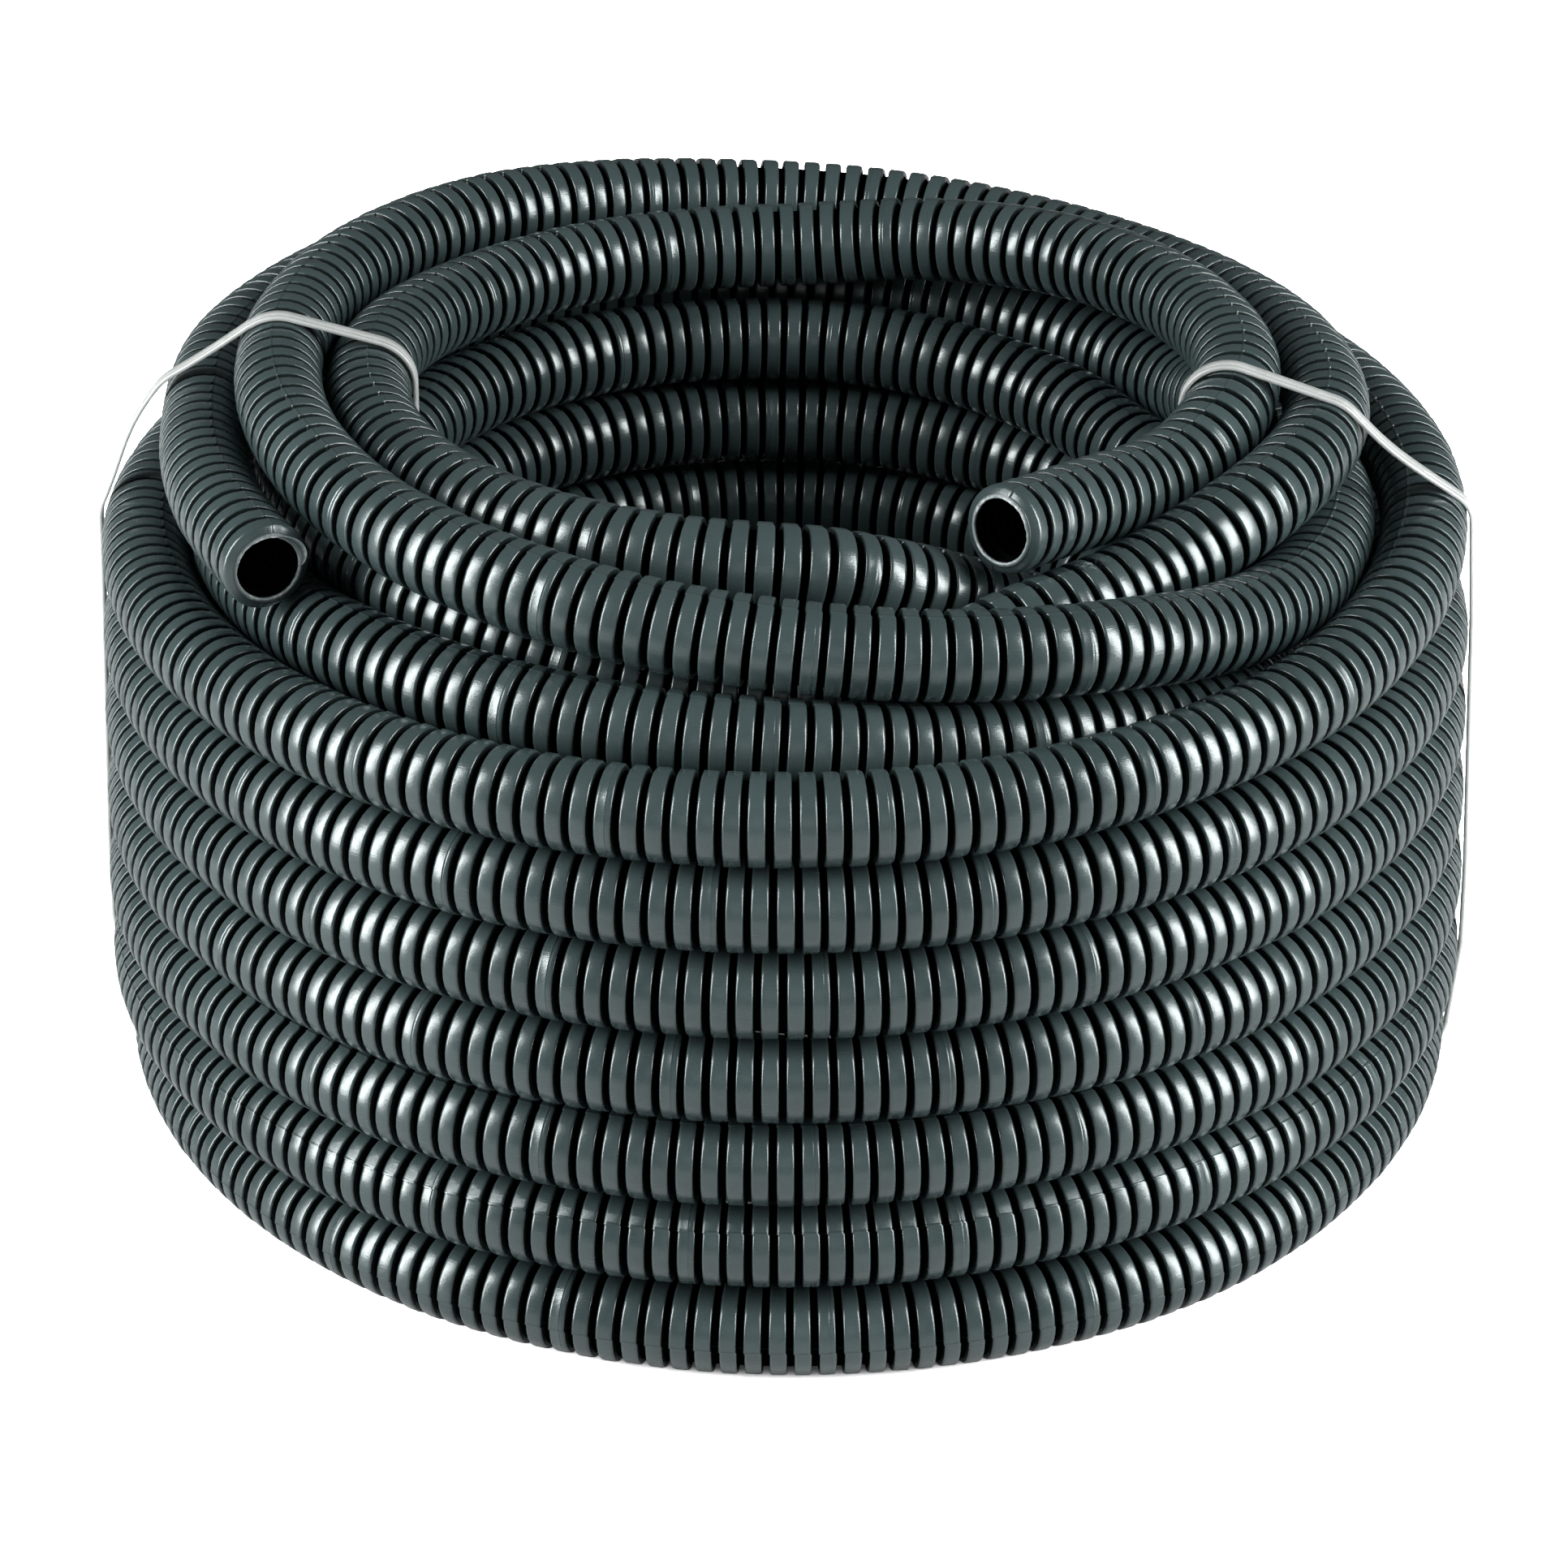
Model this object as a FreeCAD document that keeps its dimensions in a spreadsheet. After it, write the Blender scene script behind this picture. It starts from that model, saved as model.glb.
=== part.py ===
import FreeCAD, Part
import math
import os

# A free-standing roll of ribbed plastic hose, held by two nylon cable ties.
# Millimetres, +Z up, floor at z = 0, roll axis on Z. Azimuth 0 is the front (-Y), 90 the right (+X).

SIZES = (
    ("hose_crest_diameter", 28.0),
    ("hose_valley_diameter", 22.2),
    ("hose_bore", 20.0),
    ("rib_pitch", 7.2),
    ("rib_crest_width", 3.4),
    ("rib_flank", 0.9),
    ("floor_flat_depth", 0.5),
    ("inner_ring_radius", 135.0),
    ("inner_ring_step", 30.2),
    ("inner_ring_stagger", 7.8),
    ("stagger_step", 27.65),
    ("outer_ring_radius", 208.9),
    ("outer_ring_lean", 0.7),
    ("outer_ring_step", 28.63),
    ("top_ring_spread", 1.2),
    ("second_ring_height", 45.0),
    ("tie_lift", 2.9),
    ("tie_width", 4.8),
    ("tie_thickness", 1.3),
    ("tie_clearance", 0.45),
    ("tie_head_length", 8.0),
    ("tie_head_width", 7.0),
    ("tie_head_depth", 5.5),
    ("tie_head_height", 84.0),
    ("tie_tail_length", 5.0),
    ("tie_tail_width", 4.2),
    ("tie_tail_gap", 1.4),
    ("left_tie_azimuth", 269.0),
    ("right_tie_azimuth", 80.5),
)

doc = FreeCAD.newDocument("hose_roll")
sheet = doc.addObject("Spreadsheet::Sheet", "Sizes")
for row, (name, value) in enumerate(SIZES, start=1):
    sheet.set("A%d" % row, name)
    sheet.set("B%d" % row, str(value))
    sheet.setAlias("B%d" % row, name)
doc.recompute()


def size(name):
    return float(sheet.get(name))


crest_radius = size("hose_crest_diameter") / 2
valley_radius = size("hose_valley_diameter") / 2
bore_radius = size("hose_bore") / 2
floor_height = crest_radius - size("floor_flat_depth")
tied_height = floor_height + size("tie_lift")
inner_rings = 7
outer_rings = 7
first_inner = 1620
first_outer = 4320


# The lay of the hose
# A place on the hose is (azimuth counted on from the right end, radius, centre height).
# The loops that cross on top follow no formula: each was laid by eye to rest on the ones below.

def crown_lay():
    inner = size("inner_ring_radius")
    right_end = [(28.2, 136.9, 242.3), (59.8, 130.6, 232.8), (67.5, 135.4, 233.4), (75, 139.6, 236.9),
                 (84, 143.3, 240.2), (94, 144.6, 241.0)]
    inner_top = [(104, 144.0, 240.3), (114, 144.0, 239.2), (135, 142.5, 237.5), (160, 139.0, 233.0),
                 (180, 135.5, 228.8), (225, 134.4, 230.7), (270, 133.6, 236.9), (315, 131.3, 235.8),
                 (360, 129.4, 233.8)]
    dips_under = [(376, 125.1, 223.9), (391, 120.8, 208.5), (405, 129.4, 197.4), (424, 137.2, 203.0),
                  (450, 145.7, 212.1), (465, 149.9, 211.3), (480, 156.9, 199.4), (495, 159.8, 197.3),
                  (510, 161.7, 199.1)]
    middle_low = [(540, 162.5, 203.0), (585, 161.8, 210.0), (630, 156.9, 215.3), (652, 154.3, 214.5),
                  (675, 152.3, 211.7), (720, 151.2, 201.6)]
    climbs = [(736, 150.6, 206.1), (751, 150.6, 216.1), (765, 150.8, 217.6), (784, 162.7, 228.2),
              (810, 172.9, 230.8)]
    middle_high = [(855, 170.3, 226.6), (900, 167.2, 231.6), (945, 165.2, 242.5), (990, 161.6, 244.7),
                   (1035, 164.1, 238.6), (1080, 168.8, 227.1)]
    sinks = [(1096, 174.6, 223.2), (1111, 179.5, 219.4), (1125, 179.4, 210.8), (1144, 177.8, 202.5),
             (1170, 175.1, 197.5), (1200, 178.6, 179.8), (1215, 178.8, 175.6)]
    third_column = [(1260, 178.3, 179.1), (1305, 177.7, 185.3), (1350, 177.5, 195.1), (1372, 178.7, 199.3),
                    (1386, 179.5, 201.6), (1395, 180.0, 203.3), (1440, 180.1, 200.1)]
    crosses_in = [(1456, 177.9, 193.8), (1471, 177.3, 189.8), (1485, 177.6, 181.4), (1504, 165.6, 175.3),
                  (1530, inner + 13.0, 183.0), (1545, inner + 2.9, 184.4), (1560, inner - 4.1, 185.0),
                  (1575, inner - 2.3, 188.2)]
    return (right_end + inner_top + dips_under + middle_low + climbs + middle_high + sinks
            + third_column + crosses_in)


def inner_lay():
    """The inner wall: rings stacked from the top down, staggered on the right where they nest."""
    radius = size("inner_ring_radius")
    step = size("inner_ring_step")
    lay = []
    for ring in range(inner_rings):
        below = inner_rings - 1 - ring
        start = first_inner + 360 * ring
        lay.append((start, radius, floor_height + step * below))
        if below == 0:
            break
        lay.append((start + 90, radius - 1.3, 44.6 + 30.65 * (below - 1)))
        if ring == 0:
            lay.append((start + 135, radius - 4.1, 190.5))
            lay.append((start + 225, radius - 3.0, 166.2))
        front = 29.1 + 29.4 * (below - 1)
        right = tied_height + size("stagger_step") * (below - 1)
        outward = size("inner_ring_stagger") if below % 2 == 0 else 0
        lay.append((start + 180, radius - 1.2, front))
        if ring > 0:
            lay.append((start + 225, radius - 1.6 + 0.85 * outward, (front + right) / 2))
        lay.append((start + 270, radius - 1.6 + outward, right))
        if ring == 0:
            lay.append((start + 315, radius + 2.4, 159.0))
    return lay


def floor_lay():
    """The rings on the floor that lead from the inner wall out to the outer wall."""
    inner = size("inner_ring_radius")
    outer = size("outer_ring_radius")
    return [(3870, inner + 3.6, tied_height), (3915, inner + 17.6, 14.0), (3960, 166.6, floor_height),
            (4050, 172.2, tied_height), (4140, 177.8, floor_height), (4185, 191.8, 14.0),
            (4230, outer - 5.9, tied_height), (4255, outer - 5.1, 16.0), (4295, outer - 1.1, 14.6),
            (first_outer, outer, floor_height), (4355, outer + 1.1, 14.0),
            (4380, outer - 1.4, 15.9), (4410, outer - 3.7, tied_height)]


def outer_lay():
    """The outer wall: level rings, each climbing to the next across the back."""
    lay = []
    low = tied_height
    high = size("second_ring_height")
    for ring in range(1, outer_rings):
        front = first_outer + 360 * ring
        radius = size("outer_ring_radius") - size("outer_ring_lean") * max(0, ring - 2)
        climb = high - low
        spread = size("top_ring_spread") if ring == outer_rings - 1 else 0
        lay.append((front - 225, radius + spread, low + 0.38 * climb))
        lay.append((front - 180, radius + spread, low + 0.75 * climb))
        lay.append((front - 135, radius + spread / 2, low + 0.96 * climb))
        lay.append((front - 90, radius, high))
        lay.append((front, radius, high))
        if ring < outer_rings - 1:
            lay.append((front + 90, radius, high))
        low = high
        high = high + size("outer_ring_step")
    return lay


def left_end_lay():
    """From the top ring of the outer wall, inwards and up on to the crown: (azimuth, inwards, upwards)."""
    top = first_outer + 360 * (outer_rings - 1)
    radius = size("outer_ring_radius")
    height = size("second_ring_height") + size("outer_ring_step") * (outer_rings - 2)
    lay = [(45, 3.2, 2.2), (90, 4.2, 9.7), (135, 7.2, 14.0),
           (180, 10.1, 24.6), (225, 17.1, 35.8), (253, 18.5, 36.6),
           (271, 23.3, 37.5), (297, 17.7, 38.9), (306, 14.3, 38.6)]
    return [(top + azimuth, radius - inwards, height + upwards) for azimuth, inwards, upwards in lay]


def slopes(places, values):
    """Slopes that carry a smooth line through the values without overshoot."""
    steps = [b - a for a, b in zip(places, places[1:])]
    rates = [(b - a) / d for a, b, d in zip(values, values[1:], steps)]
    result = [rates[0]]
    for before, after, h0, h1 in zip(rates, rates[1:], steps, steps[1:]):
        if before * after <= 0:
            result.append(0.0)
        else:
            w1 = 2 * h1 + h0
            w2 = h1 + 2 * h0
            result.append((w1 + w2) / (w1 / before + w2 / after))
    result.append(rates[-1])
    return result


def straight_places(lay):
    """Where straight stretches start: the right end, where the left end meets the coil, and its cut."""
    return [0, len(lay) - 4, len(lay) - 2]


def stations(lay):
    """Position and direction of the hose's centre at each place of the lay."""
    azimuths = [place[0] for place in lay]
    radii = [place[1] for place in lay]
    heights = [place[2] for place in lay]
    outward = slopes([math.radians(a) for a in azimuths], radii)
    upward = slopes([math.radians(a) for a in azimuths], heights)
    points = []
    directions = []
    for azimuth, radius, height, grow, rise in zip(azimuths, radii, heights, outward, upward):
        sine = math.sin(math.radians(azimuth))
        cosine = math.cos(math.radians(azimuth))
        points.append(FreeCAD.Vector(radius * sine, -radius * cosine, height))
        direction = FreeCAD.Vector(radius * cosine + grow * sine, radius * sine - grow * cosine, rise)
        directions.append(direction.normalize())
    for i in straight_places(lay):
        along = (points[i + 1] - points[i]).normalize()
        directions[i] = along
        directions[i + 1] = FreeCAD.Vector(along)
    return points, directions


class Line:
    def __init__(self, start, end):
        self.start = start
        self.end = end
        self.length = (end - start).Length
        self.radius = float("inf")

    def at(self, share):
        along = self.end - self.start
        return self.start + along * share, FreeCAD.Vector(along).normalize()

    def edge(self):
        return Part.LineSegment(self.start, self.end).toShape()


class Arc:
    """A circular arc between two points whose end tangents meet at the corner."""
    def __init__(self, start, corner, end):
        self.start = start
        self.end = end
        middle = (start + end) * 0.5
        half_chord = (end - start).Length / 2
        rise = (corner - middle).Length
        self.half_angle = math.atan2(rise, half_chord)
        self.radius = half_chord / math.sin(self.half_angle)
        self.across = (corner - middle).normalize()
        self.along = (end - start).normalize()
        self.centre = middle - self.across * (self.radius * math.cos(self.half_angle))
        self.length = 2 * self.half_angle * self.radius

    def at(self, share):
        turn = (2 * share - 1) * self.half_angle
        spoke = self.across * math.cos(turn) + self.along * math.sin(turn)
        tangent = self.along * math.cos(turn) - self.across * math.sin(turn)
        return self.centre + spoke * self.radius, tangent

    def edge(self):
        return Part.Arc(self.start, self.at(0.5)[0], self.end).toShape()


def biarc(p0, t0, p1, t1):
    """Two arcs that leave p0 along t0, arrive at p1 along t1 and meet on a common tangent."""
    gap = p1 - p0
    square = 2 * (1 - t0.dot(t1))
    linear = 2 * gap.dot(t0 + t1)
    const = -gap.dot(gap)
    if square > 1e-9:
        reach = (-linear + math.sqrt(linear * linear - 4 * square * const)) / (2 * square)
    else:
        reach = -const / linear
    corner0 = p0 + t0 * reach
    corner1 = p1 - t1 * reach
    joint = (corner0 + corner1) * 0.5
    return [Arc(p0, corner0, joint), Arc(joint, corner1, p1)]


def run_between(points, directions):
    """The centre line as lines and arcs."""
    run = []
    for i in range(len(points) - 1):
        if i in straight_places(points):
            run.append(Line(points[i], points[i + 1]))
        else:
            run.extend(biarc(points[i], directions[i], points[i + 1], directions[i + 1]))
    return run


def walk(run, step):
    """Points along the run at most one step apart, with the length run so far."""
    result = [(0.0, run[0].start)]
    done = 0.0
    for piece in run:
        parts = max(1, math.ceil(piece.length / step))
        for i in range(1, parts + 1):
            result.append((done + piece.length * i / parts, piece.at(i / parts)[0]))
        done += piece.length
    return result


def least_gap(samples, apart):
    """Least distance between two places of the centre line that are more than 'apart' of hose apart."""
    cell = 30.0
    grid = {}
    for index, (done, point) in enumerate(samples):
        key = (int(point.x // cell), int(point.y // cell), int(point.z // cell))
        grid.setdefault(key, []).append(index)
    least = 1e9
    place = None
    for (i, j, k), members in grid.items():
        near = []
        for di in (-1, 0, 1):
            for dj in (-1, 0, 1):
                for dk in (-1, 0, 1):
                    near.extend(grid.get((i + di, j + dj, k + dk), ()))
        for one in members:
            for other in near:
                if samples[other][0] - samples[one][0] < apart:
                    continue
                distance = (samples[other][1] - samples[one][1]).Length
                if distance < least:
                    least = distance
                    place = (samples[one], samples[other])
    return least, place


def tube(run, radius):
    """A round bar swept along the run."""
    wire = Part.Wire([piece.edge() for piece in run])
    start, along = run[0].at(0)
    ring = Part.Wire(Part.makeCircle(radius, start, along))
    return wire.makePipeShell([ring], True, False)


def hoop(radius, centre, along):
    """A circle square to the hose, its seam always uppermost."""
    edge = Part.makeCircle(radius)
    up = FreeCAD.Vector(0, 0, 1)
    edge.Placement = FreeCAD.Placement(centre, FreeCAD.Rotation(up, along.cross(up), along, "ZXY"))
    return Part.Wire(edge)


def ribbed_end(run, inner_piece):
    """A ribbed, open end of the hose: the run starts where it meets the coil and ends at the cut."""
    total = sum(piece.length for piece in run)
    crest = size("rib_crest_width")
    flank = size("rib_flank")
    ribs = round((total - crest) / size("rib_pitch"))
    pitch = (total - crest) / ribs
    places = [(0.0, crest_radius)]
    for rib in range(ribs):
        foot = rib * pitch + crest
        places.append((foot, crest_radius))
        places.append((foot + flank, valley_radius))
        places.append(((rib + 1) * pitch - flank, valley_radius))
        places.append(((rib + 1) * pitch, crest_radius))
    places.append((total, crest_radius))
    hoops = []
    for place, radius in places:
        rest = place
        for piece in run:
            if rest <= piece.length + 1e-6:
                break
            rest -= piece.length
        centre, along = piece.at(min(1.0, rest / piece.length))
        hoops.append(hoop(radius, centre, along))
    body = Part.makeLoft(hoops, True, True)
    print(inner_piece, "ribs", ribs + 1, "pitch %.3f" % pitch, "length %.1f" % total)
    return body.cut(tube(run, bore_radius))


def reverse(run):
    result = []
    for piece in reversed(run):
        if isinstance(piece, Line):
            result.append(Line(piece.end, piece.start))
        else:
            start, end = piece.end, piece.start
            middle = (start + end) * 0.5
            rise = math.tan(piece.half_angle) * (end - start).Length / 2
            result.append(Arc(start, middle + piece.across * rise, end))
    return result


lay = sorted(crown_lay() + inner_lay() + floor_lay() + outer_lay() + left_end_lay())
points, directions = stations(lay)
pieces = run_between(points, directions)
samples = walk(pieces, 3.0)
least, place = least_gap(samples, 3 * size("hose_crest_diameter"))
print("loops %.2f" % ((lay[-1][0] - lay[0][0]) / 360), "hose length %.0f" % samples[-1][0])
print("least gap between loops %.3f" % (least - size("hose_crest_diameter")))
for done, point in place:
    azimuth = math.degrees(math.atan2(point.x, -point.y)) % 360
    print("  at %.0f of the hose, azimuth %.0f, height %.1f" % (done, azimuth, point.z))
print("tightest bend %.1f" % min(piece.radius for piece in pieces))
print("lowest centre %.2f" % min(point.z for done, point in samples))

# Where the ends meet the coil: half-way along the first two straight stretches
right_break, left_break = [i for i, piece in enumerate(pieces) if isinstance(piece, Line)][:2]


def halves(piece):
    middle = piece.at(0.5)[0]
    return Line(piece.start, middle), Line(middle, piece.end)


right_outer, right_inner = halves(pieces[right_break])
left_inner, left_outer = halves(pieces[left_break])
right_run = reverse(pieces[:right_break] + [right_outer])
left_run = [left_outer] + pieces[left_break + 1:]
coil_run = [right_inner] + pieces[right_break + 1:left_break] + [left_inner]
for stretch in (right_outer, right_inner, left_inner, pieces[-1]):
    print("straight %.1f" % stretch.length)

reach = 1.5 * size("outer_ring_radius")
below_floor = Part.makeBox(2 * reach, 2 * reach, crest_radius, FreeCAD.Vector(-reach, -reach, -crest_radius))
coil_shape = tube(coil_run, crest_radius).cut(below_floor)
right_shape = ribbed_end(right_run, "right end")
left_shape = ribbed_end(left_run, "left end")


def add_form(label, shape):
    part = doc.addObject("Part::Feature", label)
    if shape.ShapeType != "Solid" and len(shape.Solids) == 1:
        shape = shape.Solids[0]
    part.Shape = shape
    part.Label = label
    part.Placement = FreeCAD.Placement(FreeCAD.Vector(0, 0, 0), FreeCAD.Rotation())
    return part


# Cable ties

def crossings(azimuth):
    """Where the hose passes through the upright half-plane at the azimuth, as (radius, height)."""
    across = FreeCAD.Vector(math.cos(math.radians(azimuth)), math.sin(math.radians(azimuth)), 0)
    outward = FreeCAD.Vector(math.sin(math.radians(azimuth)), -math.cos(math.radians(azimuth)), 0)
    result = []
    for (d0, a), (d1, b) in zip(samples, samples[1:]):
        side_a = a.dot(across)
        side_b = b.dot(across)
        if a.dot(outward) > 0 and (side_a < 0) != (side_b < 0):
            point = a + (b - a) * (side_a / (side_a - side_b))
            result.append((point.dot(outward), point.z))
    return result


def outline(spots):
    """The spots that a string pulled round all of them touches, anticlockwise."""
    spots = sorted(set(spots))

    def chain(order):
        kept = []
        for x, y in order:
            while len(kept) > 1:
                (x1, y1), (x2, y2) = kept[-2:]
                if (x2 - x1) * (y - y1) - (y2 - y1) * (x - x1) > 0:
                    break
                kept.pop()
            kept.append((x, y))
        return kept[:-1]
    return chain(spots) + chain(spots[::-1])


def loop_wire(corners, reach, side):
    """A closed line that runs at the given reach round the corners, at y = side."""
    def spot(corner, angle):
        x = corner[0] + reach * math.cos(angle)
        z = corner[1] + reach * math.sin(angle)
        return FreeCAD.Vector(x, side, z)
    angles = []
    for a, b in zip(corners, corners[1:] + corners[:1]):
        angles.append(math.atan2(b[1] - a[1], b[0] - a[0]) - math.pi / 2)
    edges = []
    count = len(corners)
    for i, corner in enumerate(corners):
        arrive = angles[i - 1]
        turn = (angles[i] - arrive) % (2 * math.pi)
        leave = arrive + turn
        halfway = arrive + turn / 2
        edges.append(Part.Arc(spot(corner, arrive), spot(corner, halfway), spot(corner, leave)).toShape())
        edges.append(Part.LineSegment(spot(corner, leave), spot(corners[(i + 1) % count], leave)).toShape())
    return Part.Wire(edges)


def wall_inner(corners, height):
    """The inner side of the outline at a height."""
    best = None
    for a, b in zip(corners, corners[1:] + corners[:1]):
        if a[1] != b[1] and min(a[1], b[1]) <= height <= max(a[1], b[1]):
            x = a[0] + (b[0] - a[0]) * (height - a[1]) / (b[1] - a[1])
            best = x if best is None else min(best, x)
    return best


def add_tie(side):
    """One tie in its own frame: x outward from the roll's axis, y along the hose, z up."""
    azimuth = size(side + "_tie_azimuth")
    corners = outline(crossings(azimuth))
    inside = crest_radius + size("tie_clearance")
    outside = inside + size("tie_thickness")
    width = size("tie_width")
    loops = [loop_wire(corners, reach, -width / 2) for reach in (outside, inside)]
    band = Part.makeFace(loops, "Part::FaceMakerBullseye")
    strap = doc.addObject("Part::Feature", side + "_strap")
    strap.Shape = band.extrude(FreeCAD.Vector(0, width, 0)).Solids[0]
    strap.Placement = FreeCAD.Placement(FreeCAD.Vector(0, 0, 0), FreeCAD.Rotation())
    wall = wall_inner(corners, size("tie_head_height")) - inside
    head = doc.addObject("Part::Box", side + "_head")
    head.setExpression("Length", "Sizes.tie_head_depth")
    head.setExpression("Width", "Sizes.tie_head_width")
    head.setExpression("Height", "Sizes.tie_head_length")
    head.setExpression("Placement.Base.x",
                       "%.4f mm - (Sizes.tie_head_depth + Sizes.tie_thickness / 2) * 1 mm" % wall)
    head.setExpression("Placement.Base.y", "-Sizes.tie_head_width * 0.5 mm")
    head.setExpression("Placement.Base.z", "(Sizes.tie_head_height - Sizes.tie_head_length / 2) * 1 mm")
    tail = doc.addObject("Part::Box", side + "_tail")
    tail.setExpression("Length", "Sizes.tie_thickness")
    tail.setExpression("Width", "Sizes.tie_tail_width")
    tail.setExpression("Height", "Sizes.tie_tail_length + 1")
    tail.setExpression("Placement.Base.x",
                       "%.4f mm - (2 * Sizes.tie_thickness + Sizes.tie_tail_gap) * 1 mm" % wall)
    tail.setExpression("Placement.Base.y", "-Sizes.tie_tail_width * 0.5 mm")
    tail.setExpression("Placement.Base.z",
                       "(Sizes.tie_head_height - Sizes.tie_head_length / 2 - Sizes.tie_tail_length) * 1 mm")
    tie = doc.addObject("Part::MultiFuse", "cable_tie_" + side)
    tie.Shapes = [strap, head, tail]
    tie.Label = "cable_tie_" + side
    tie.Placement = FreeCAD.Placement(FreeCAD.Vector(0, 0, 0),
                                      FreeCAD.Rotation(FreeCAD.Vector(0, 0, 1), azimuth - 90))
    lowest = min(z for x, z in corners) - outside
    print("cable_tie_" + side, "hose passes %d times" % len(crossings(azimuth)), "lowest %.2f" % lowest)
    return tie


subparts = [add_form("hose_coil", coil_shape), add_form("hose_end_right", right_shape),
            add_form("hose_end_left", left_shape), add_tie("left"), add_tie("right")]
doc.recompute()

for item in doc.Objects:
    if "Invalid" in item.State or "Error" in item.State:
        raise RuntimeError("%s did not build" % item.Name)
os.makedirs("parts", exist_ok=True)
for part in subparts:
    shape = part.Shape
    if shape.isNull() or not shape.isValid():
        raise RuntimeError("%s has no valid shape" % part.Label)
    if len(shape.Solids) != 1:
        raise RuntimeError("%s has %d solids" % (part.Label, len(shape.Solids)))
    box = shape.optimalBoundingBox(False)
    print(part.Label, "faces", len(shape.Faces), "volume %.0f" % shape.Volume,
          "size %.1f %.1f %.1f" % (box.XLength, box.YLength, box.ZLength))
    shape.exportStep("parts/%s.step" % part.Label)
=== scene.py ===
import math

import bpy
import numpy as np
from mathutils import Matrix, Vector


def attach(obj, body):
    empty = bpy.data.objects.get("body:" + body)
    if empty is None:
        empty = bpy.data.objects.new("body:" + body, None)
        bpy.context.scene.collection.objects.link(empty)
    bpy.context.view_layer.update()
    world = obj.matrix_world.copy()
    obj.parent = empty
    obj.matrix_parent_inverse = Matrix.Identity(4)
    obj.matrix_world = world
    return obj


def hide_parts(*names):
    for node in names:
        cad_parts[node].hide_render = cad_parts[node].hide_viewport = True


# A free-standing roll of ribbed plastic hose, held by two nylon cable ties.
# Metres, +Z up, floor at z = 0, roll axis on Z. Azimuth 0 is the front (-Y), 90 the right (+X).

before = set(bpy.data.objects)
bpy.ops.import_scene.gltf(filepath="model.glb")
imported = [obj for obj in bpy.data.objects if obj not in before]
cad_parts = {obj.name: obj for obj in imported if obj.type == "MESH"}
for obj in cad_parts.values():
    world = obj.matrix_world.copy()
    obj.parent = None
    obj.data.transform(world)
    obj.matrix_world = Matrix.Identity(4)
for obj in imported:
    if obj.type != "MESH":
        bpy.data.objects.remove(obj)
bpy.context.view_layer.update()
rng = np.random.default_rng(7)

# Sizes of the hose
CREST_RADIUS = 0.014
VALLEY_RADIUS = 0.0113
BORE_RADIUS = 0.010
RIB_PITCH = 0.0072
FLOOR_FLAT = 0.0005

# The lay of the hose: places are (azimuth counted on from the right end, radius, centre height)
RIGHT_CUT_AZIMUTH = 28.2
INNER_RINGS = 7
OUTER_RINGS = 7
FIRST_INNER = 1620
FIRST_OUTER = 4320
FLOOR_HEIGHT = CREST_RADIUS - FLOOR_FLAT
TIED_HEIGHT = FLOOR_HEIGHT + 0.0029
CONTROL_STEP = 7.5
ROUTE_STEP = 0.002

# The inner wall. Each side is (inset from the inner radius, height of its last turn, step per turn above)
INNER_RADIUS = 0.135
INNER_BACK_STEP = 0.0302
INNER_LEFT = (0.0013, 0.0446, 0.03065)
INNER_FRONT = (0.0012, 0.0291, 0.0294)
INNER_RIGHT = (0.0016, TIED_HEIGHT, 0.02765)
NEST_OUTWARD = 0.0078
NEST_BETWEEN = 0.85
# More places of its top turn alone: (degrees past the back, inset, height)
TOP_TURN = [(135, 0.0041, 0.1905), (225, 0.0030, 0.1662), (315, -0.0024, 0.1590)]

# The outer wall. Its climb across the back: (degrees before the front, share of the spread, of the step)
OUTER_RADIUS = 0.2089
OUTER_SECOND_HEIGHT = 0.0450
OUTER_STEP = 0.02863
OUTER_LEAN = 0.0007
OUTER_TOP_SPREAD = 0.0012
CLIMB = [(225, 1, 0.38), (180, 1, 0.75), (135, 0.5, 0.96)]


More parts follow.
